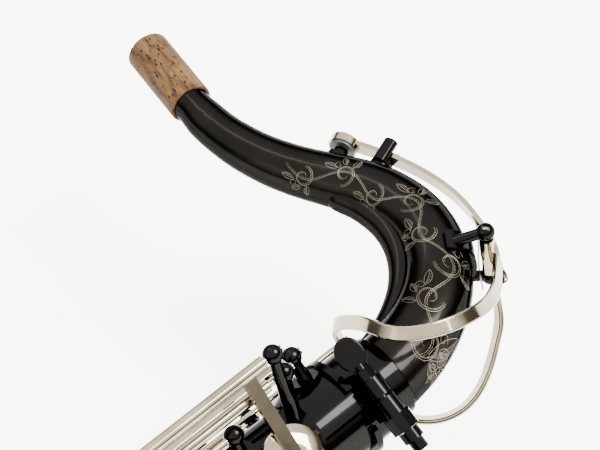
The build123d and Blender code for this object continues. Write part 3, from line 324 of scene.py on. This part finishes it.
# ---------------------------------------------------------------- pads and pearls
# Where each pad closes: x, angle round its tube, tone hole bore, hinge (y, z), and how far it stands
# open at rest in degrees. The bell's are on the bell's own axis, and low C's is on the bow.
BODY_TAPER = ((-24.0, 14.05), (-135.0, 17.03), (-290.5, 21.18), (-405.0, 24.23), (-501.0, 26.77),
              (-570.0, 28.6))
UPPER, LOWER, PALM = (-27.0, 20.5), (-32.0, 25.0), (24.4, -8.9)
BODY_PADS = {
    "high_key": (-40, 36, 15, (7.0, 43.0), 0), "side_e_key": (-98, 36, 14, (5.8, 32.0), 0),
    "side_bb_key": (-216, 30, 15, (5.8, 32.0), 0), "side_c_key": (-181, 30, 15, (3.0, 25.3), 0),
    "body_octave_key": (-112, 285, 6, (14.7, 22.0), 0), "palm_f_key": (-82, 200, 14, PALM, 0),
    "palm_eb_key": (-117, 205, 15, PALM, 0), "palm_d_key": (-152, 210, 15, PALM, 0),
    "upper_c_key": (-165, 90, 18, UPPER, 7), "b_key": (-198, 90, 22, UPPER, 7),
    "a_key": (-234, 90, 24, UPPER, 7), "g_key": (-274, 90, 26, UPPER, 7),
    "g_sharp_key": (-306, 150, 24, (-31.7, -14.8), 0), "f_sharp_key": (-342, 90, 29, LOWER, 7),
    "f_key": (-384, 90, 31, LOWER, 7), "e_key": (-428, 90, 33, LOWER, 7),
    "d_key": (-474, 90, 35, LOWER, 7), "low_eb_key": (-528, 8, 34, (21.0, 35.0), 0),
}
BELL_PADS = {
    "low_b_key": (86, 0, 44, (38.0, 44.0), 7), "low_bb_key": (150, 0, 46, (31.0, 48.0), 7),
    "low_cs_key": (34, 180, 42, (28.0, -46.0), 7),
}
TUBE_END, BOW_RADIUS, BELL_LENGTH = -570.0, 52.0, 285.0
TUBE_END_RADIUS, BELL_THROAT_RADIUS, BELL_TAPER, BELL_FLARE = 28.6, 37.5, 9.0, 30.5
BELL_LEAN = math.radians(3.5)
BELL_AT = Vector((TUBE_END - BOW_RADIUS * math.sin(BELL_LEAN),
                  -BOW_RADIUS * (1 + math.cos(BELL_LEAN)), 0))
# Low C's hole: its share of the bow's sweep, its bore, its hinge (y, z) and its opening in degrees.
LOW_C_SHARE, BOW_SWEEP, LOW_C_BORE, LOW_C_HINGE, LOW_C_OPEN = 0.42, 176.5, 40, (-12.0, 44.0), 6
# Height of a closed pad's face above the tube, the cup's reach past the bore, and its wall.
SEAT_RISE, CUP_REACH, CUP_WALL = 3.4, 3.0, 0.9


def body_radius(x):
    """Main tube's radius at x, from its straight tapers."""
    for (x0, r0), (x1, r1) in zip(BODY_TAPER, BODY_TAPER[1:]):
        if x >= x1:
            break
    return r0 + (r1 - r0) * (x0 - x) / (x0 - x1)


def bell_radius(x):
    """Bell's radius at a distance along its own axis: a slow taper with the flare added."""
    share = x / BELL_LENGTH
    return BELL_THROAT_RADIUS + BELL_TAPER * share + BELL_FLARE * share ** 5


def opened(centre, normal, hinge, lift):
    """Pad face and its direction, turned open about its hinge line."""
    arm = Vector((0, centre.y - hinge[0], centre.z - hinge[1]))
    sign = 1 if arm.y * normal.z - arm.z * normal.y > 0 else -1
    turn = Matrix.Rotation(math.radians(sign * lift), 3, "X")
    foot = Vector((centre.x, hinge[0], hinge[1]))
    return foot + turn @ arm, turn @ normal


def pad_disc(name):
    """(centre of the pad's open face, direction out of the cup's back, pad radius) in the row frame."""
    if name == "low_c_key":
        along = math.radians(90 + BOW_SWEEP * LOW_C_SHARE)
        bow_radius = TUBE_END_RADIUS + (BELL_THROAT_RADIUS - TUBE_END_RADIUS) * LOW_C_SHARE
        centre = Vector((TUBE_END + BOW_RADIUS * math.cos(along),
                         -BOW_RADIUS + BOW_RADIUS * math.sin(along), bow_radius + SEAT_RISE))
        bore = LOW_C_BORE
        centre, normal = opened(centre, Vector((0, 0, 1)), LOW_C_HINGE, LOW_C_OPEN)
    else:
        on_bell = name in BELL_PADS
        x, phi, bore, hinge, lift = (BELL_PADS if on_bell else BODY_PADS)[name]
        normal = Vector((0, -math.sin(math.radians(phi)), math.cos(math.radians(phi))))
        distance = (bell_radius(x) if on_bell else body_radius(x)) + SEAT_RISE
        centre, normal = opened(Vector((x, 0, 0)) + normal * distance, normal, hinge, lift)
        if on_bell:
            lean = Matrix.Rotation(-BELL_LEAN, 3, "Z")
            centre, normal = BELL_AT + lean @ centre, lean @ normal
    return RIM + centre * MM, normal, (bore / 2 + CUP_REACH - CUP_WALL) * MM


PEARL_KEYS = {"b_key", "a_key", "g_key", "f_key", "e_key", "d_key"}
PEARL_FLOOR, PEARL_R, SKIN = 6.1 * MM, 7.1 * MM, 0.12 * MM
for name in key_bodies:
    face, normal, radius = pad_disc(name)
    turned(name.replace("_key", "_pad_skin"), face, -normal,
           [(radius + 0.01 * MM, -1.4 * MM), (radius + 0.01 * MM, -0.5 * MM),
            (radius - 0.2 * MM, -0.1 * MM), (radius - 0.8 * MM, SKIN), (radius * 0.7, SKIN * 1.3),
            (0, SKIN * 1.3)],
           name, leather)
    turned(name.replace("_key", "_resonator"), face, -normal,
           [(radius * 0.55, SKIN), (radius * 0.53, SKIN + 0.10 * MM), (radius * 0.4, SKIN + 0.16 * MM),
            (radius * 0.10, SKIN + 0.18 * MM), (0.0, SKIN + 0.24 * MM)],
           name, nickel)
    if name in PEARL_KEYS:
        turned(name.replace("_key", "_pearl"), face, normal,
               [(PEARL_R, PEARL_FLOOR), (PEARL_R, PEARL_FLOOR + 0.6 * MM),
                (PEARL_R * 0.93, PEARL_FLOOR + 1.1 * MM), (PEARL_R * 0.75, PEARL_FLOOR + 1.5 * MM),
                (PEARL_R * 0.4, PEARL_FLOOR + 1.75 * MM), (0.0, PEARL_FLOOR + 1.8 * MM)],
               name, pearl)


# ---------------------------------------------------------------- engraving on the neck
# The neck's centreline from its foot: (radius, degrees, turn's side) arcs and (length, 0, 0) straights.
NECK_BENDS = [(4.1, 0, 0), (59.6, 33.5, 1), (46.1, 19, 1), (42.5, 41.3, 1), (49.9, 22.6, 1),
              (17.2, 0, 0), (94.2, 35.4, -1), (33.6, 0, 0)]
NECK_FOOT_X, NECK_FOOT_RADIUS, NECK_TIP_RADIUS = 2.0, 14.0, 7.2


def bend_length(size, turn, hand):
    return size * math.radians(turn) if hand else size


# The taper ends where the last straight, under the cork, begins.
NECK_TAPER_END = sum(bend_length(*bend) for bend in NECK_BENDS[:-1])


def neck_at(distance):
    """(x, y, heading) of the neck's centreline, in millimetres from the receiver's rim."""
    x, y, heading = NECK_FOOT_X, 0.0, 0.0
    for size, turn, hand in NECK_BENDS:
        length = bend_length(size, turn, hand)
        run = max(0.0, min(distance, length))
        if hand:
            side = heading + hand * math.pi / 2
            centre = (x + size * math.cos(side), y + size * math.sin(side))
            heading += hand * run / size
            x = centre[0] - size * math.cos(heading + hand * math.pi / 2)
            y = centre[1] - size * math.sin(heading + hand * math.pi / 2)
        else:
            x += run * math.cos(heading)
            y += run * math.sin(heading)
        distance -= length
        if distance <= 0:
            break
    return x, y, heading


# How far round the neck the engraving's middle is, as a share of the way to the viewer's side.
VIEWER_SHARE = 0.9


def neck_surface(distance, lateral, lift):
    """Point on the neck's skin; lateral is the arc distance from the engraving's middle, outwards."""
    x, y, heading = neck_at(distance)
    share = min(1.0, distance / NECK_TAPER_END)
    radius = NECK_FOOT_RADIUS + (NECK_TIP_RADIUS - NECK_FOOT_RADIUS) * share
    outwards = -BACK.y * math.cos(heading) + BACK.x * math.sin(heading)
    middle = VIEWER_SHARE * math.atan2(outwards, BACK.z)
    turn = lateral / radius + middle
    r = radius + lift
    reach = r * math.sin(turn)
    return RIM + Vector((x + math.sin(heading) * reach, y - math.cos(heading) * reach,
                         r * math.cos(turn))) * MM


engraving_points, engraving_faces = [], []
# All lines' widths are scaled by LINE; a cut's points are half a PITCH apart, and its edges and its
# ridge stand just proud of the neck.
LINE, PITCH, EDGE_LIFT, RIDGE_LIFT = 0.8, 0.55, 0.012, 0.045


def cut(path, width, wriggle=0.0):
    """One engraved line along (distance, lateral) points, tapering at its ends; wriggle rocks it."""
    fine = []
    for (s0, t0), (s1, t1) in zip(path, path[1:]):
        steps = max(1, int(math.hypot(s1 - s0, t1 - t0) / (PITCH / 2)))
        fine += [(s0 + (s1 - s0) * k / steps, t0 + (t1 - t0) * k / steps) for k in range(steps)]
    fine.append(path[-1])
    if len(fine) < 3:
        return
    start = len(engraving_points)
    for k, (s, t) in enumerate(fine):
        s0, t0 = fine[max(0, k - 1)]
        s1, t1 = fine[min(len(fine) - 1, k + 1)]
        length = math.hypot(s1 - s0, t1 - t0) or 1.0
        normal = (-(t1 - t0) / length, (s1 - s0) / length)
        share = k / (len(fine) - 1)
        half = LINE * width / 2 * (0.35 + 0.65 * math.sin(math.pi * share) ** 0.5)
        rock = wriggle * (1 if k % 2 else -1)
        for side in (-1, 0, 1):
            offset = rock + side * half
            engraving_points.append(neck_surface(s + normal[0] * offset, t + normal[1] * offset,
                                                 RIDGE_LIFT if side == 0 else EDGE_LIFT))
    for k in range(len(fine) - 1):
        a = start + 3 * k
        engraving_faces.append((a, a + 1, a + 4, a + 3))
        engraving_faces.append((a + 1, a + 2, a + 5, a + 4))


def curl(s, t, radius, start, sweep, tighten, steps=40):
    """Scroll that winds in towards (s, t), losing a share of its radius on the way."""
    path = []
    for k in range(steps + 1):
        share = k / steps
        angle = math.radians(start + sweep * share)
        r = radius * (1 - tighten * share)
        path.append((s + r * math.cos(angle), t + r * math.sin(angle)))
    return path


def leaf(s, t, heading, length, width, hatch):
    """Pointed leaf with a midrib and hatching on one side of it."""
    c, d = math.cos(math.radians(heading)), math.sin(math.radians(heading))

    def spot(along, across):
        return (s + c * along - d * across, t + d * along + c * across)

    bend = width * 0.35
    for hand in (-1, 1):
        cut([spot(length * k / 16, hand * width / 2 * math.sin(math.pi * k / 16) ** 0.8
                  + bend * math.sin(math.pi * k / 32)) for k in range(17)], 0.19)
    cut([spot(length * k / 10, bend * math.sin(math.pi * k / 20)) for k in range(11)], 0.15)
    for k in range(1, hatch + 1):
        along = length * k / (hatch + 1)
        reach = width / 2 * math.sin(math.pi * k / (hatch + 1)) ** 0.8
        base = bend * math.sin(math.pi * k / (hatch + 1) / 2)
        cut([spot(along, base), spot(along + width * 0.12, base + reach * 0.55),
             spot(along + width * 0.2, base + reach * 0.92)], 0.12)


def flower(s, t, radius, petals=6):
    """Ring of leaves about a small circle."""
    for k in range(petals):
        turn = 2 * math.pi * k / petals
        leaf(s + 0.25 * radius * math.cos(turn), t + 0.25 * radius * math.sin(turn),
             360 * k / petals, radius, radius * 0.5, 4)
    cut(curl(s, t, radius * 0.24, 0, 360, 0.0, 16), 0.26)


# Two stems wind along the viewer's side of the neck; large scrolls roll up in turn on both sides, and
# a rocked line, leaves and small curls follow them.
ENGRAVED_FROM, ENGRAVED_TO, SCROLLS = 11.0, 128.0, 8
STEM_STEPS, STEM_SWING, TIP_SHRINK = 240, 4.6, 0.38


def shrink(s):
    """Size of the pattern at a distance up the neck."""
    return 1.0 - TIP_SHRINK * (s - ENGRAVED_FROM) / (ENGRAVED_TO - ENGRAVED_FROM)


for stem_shift in (0.0, 0.8):
    stem = []
    for k in range(STEM_STEPS + 1):
        s = ENGRAVED_FROM + (ENGRAVED_TO - ENGRAVED_FROM) * k / STEM_STEPS
        swing = STEM_SWING * math.sin(math.pi * SCROLLS * k / STEM_STEPS + 0.2)
        stem.append((s, (swing + stem_shift) * shrink(s)))
    cut(stem, 0.20, wriggle=0.24 if stem_shift else 0.0)
for k in range(SCROLLS):
    s = ENGRAVED_FROM + (ENGRAVED_TO - ENGRAVED_FROM) * (k + 0.5) / SCROLLS
    size = shrink(s)
    hand = -1 if k % 2 == 0 else 1
    t = hand * -3.4 * size
    start = 90 if hand > 0 else -90
    cut(curl(s, t, 6.6 * size, start, 430 * hand, 0.72), 0.22)
    cut(curl(s + 0.2, t, 5.9 * size, start, 360 * hand, 0.66), 0.24, wriggle=0.26)
    cut(curl(s + 4.6 * size, t + hand * -4.4 * size, 2.3 * size,
             start + 180 * hand, 380 * hand, 0.75, 24), 0.19)
    for turn, reach in ((28, 7.4), (80, 5.6), (128, 6.6)):
        heading = hand * -turn
        leaf(s + 5.4 * size * math.cos(math.radians(heading)),
             t + 5.4 * size * math.sin(math.radians(heading)),
             heading + hand * 30, reach * size, 3.0 * size, 9)
leaf(15.0, 6.0, 25, 15.0, 6.0, 22)
flower(16.0, 13.5, 4.2)
add_mesh("neck_engraving", engraving_points, engraving_faces, "neck", engraved)


# ---------------------------------------------------------------- floor and light
def floor_material():
    """Plain warm white, glowing a little so that it stays as pale as the photograph's background."""
    material, tree, shader = new_material("floor")
    tone = noise(tree, mapped(tree), 0.004, 3)
    tree.links.new(ramp(tree, tone, [(0.35, (0.945, 0.94, 0.915)), (0.65, (0.97, 0.965, 0.94))]),
                   shader.inputs["Base Color"])
    shader.inputs["Roughness"].default_value = 0.75
    shader.inputs["Emission Color"].default_value = (1.0, 0.985, 0.95, 1)
    shader.inputs["Emission Strength"].default_value = 2.2
    return material


bpy.ops.mesh.primitive_plane_add(size=8, location=(0, 0, 0))
floor = bpy.context.object
floor.name = "floor"
floor.data.materials.append(floor_material())

world = bpy.data.worlds.new("studio")
bpy.context.scene.world = world
world.use_nodes = True
sky = world.node_tree
sky_coords = sky.nodes.new("ShaderNodeTexCoord")
sky_split = sky.nodes.new("ShaderNodeSeparateXYZ")
sky.links.new(sky_coords.outputs["Generated"], sky_split.inputs["Vector"])
height = spread(sky, sky_split.outputs["Z"], 0.0, 1.0, -1.0, 1.0)
# Pale below and above, with a dark band round the horizon for the metal to reflect.
tones = [(0.0, (0.8, 0.8, 0.8)), (0.46, (0.05, 0.045, 0.04)), (0.62, (0.08, 0.075, 0.07)),
         (0.74, (0.9, 0.9, 0.89)), (1.0, (1.0, 1.0, 0.99))]
sky.links.new(ramp(sky, height, tones), sky.nodes["Background"].inputs["Color"])
sky.nodes["Background"].inputs["Strength"].default_value = 4.6


def softbox(name, offset, width, height, power):
    """Area light at an offset from the neck's foot, facing it."""
    data = bpy.data.lights.new(name, "AREA")
    data.shape = "RECTANGLE"
    data.size, data.size_y = width, height
    data.energy = power
    lamp = bpy.data.objects.new(name, data)
    bpy.context.scene.collection.objects.link(lamp)
    lamp.location = LOOK_AT + offset
    lamp.rotation_euler = (-offset).to_track_quat("-Z", "Y").to_euler()


# Offsets in metres, sizes in metres, power in watts.
softbox("key_light", (RIGHT * 0.7 + UP * 0.75 + BACK * 0.9) * 1.1, 0.8, 0.8, 110)
softbox("strip_light", (RIGHT * -0.5 + UP * 1.0 + BACK * 0.5) * 1.2, 0.16, 1.4, 9)
softbox("fill_light", (RIGHT * -1.0 + UP * -0.3 + BACK * 0.7) * 1.3, 0.9, 0.9, 7)
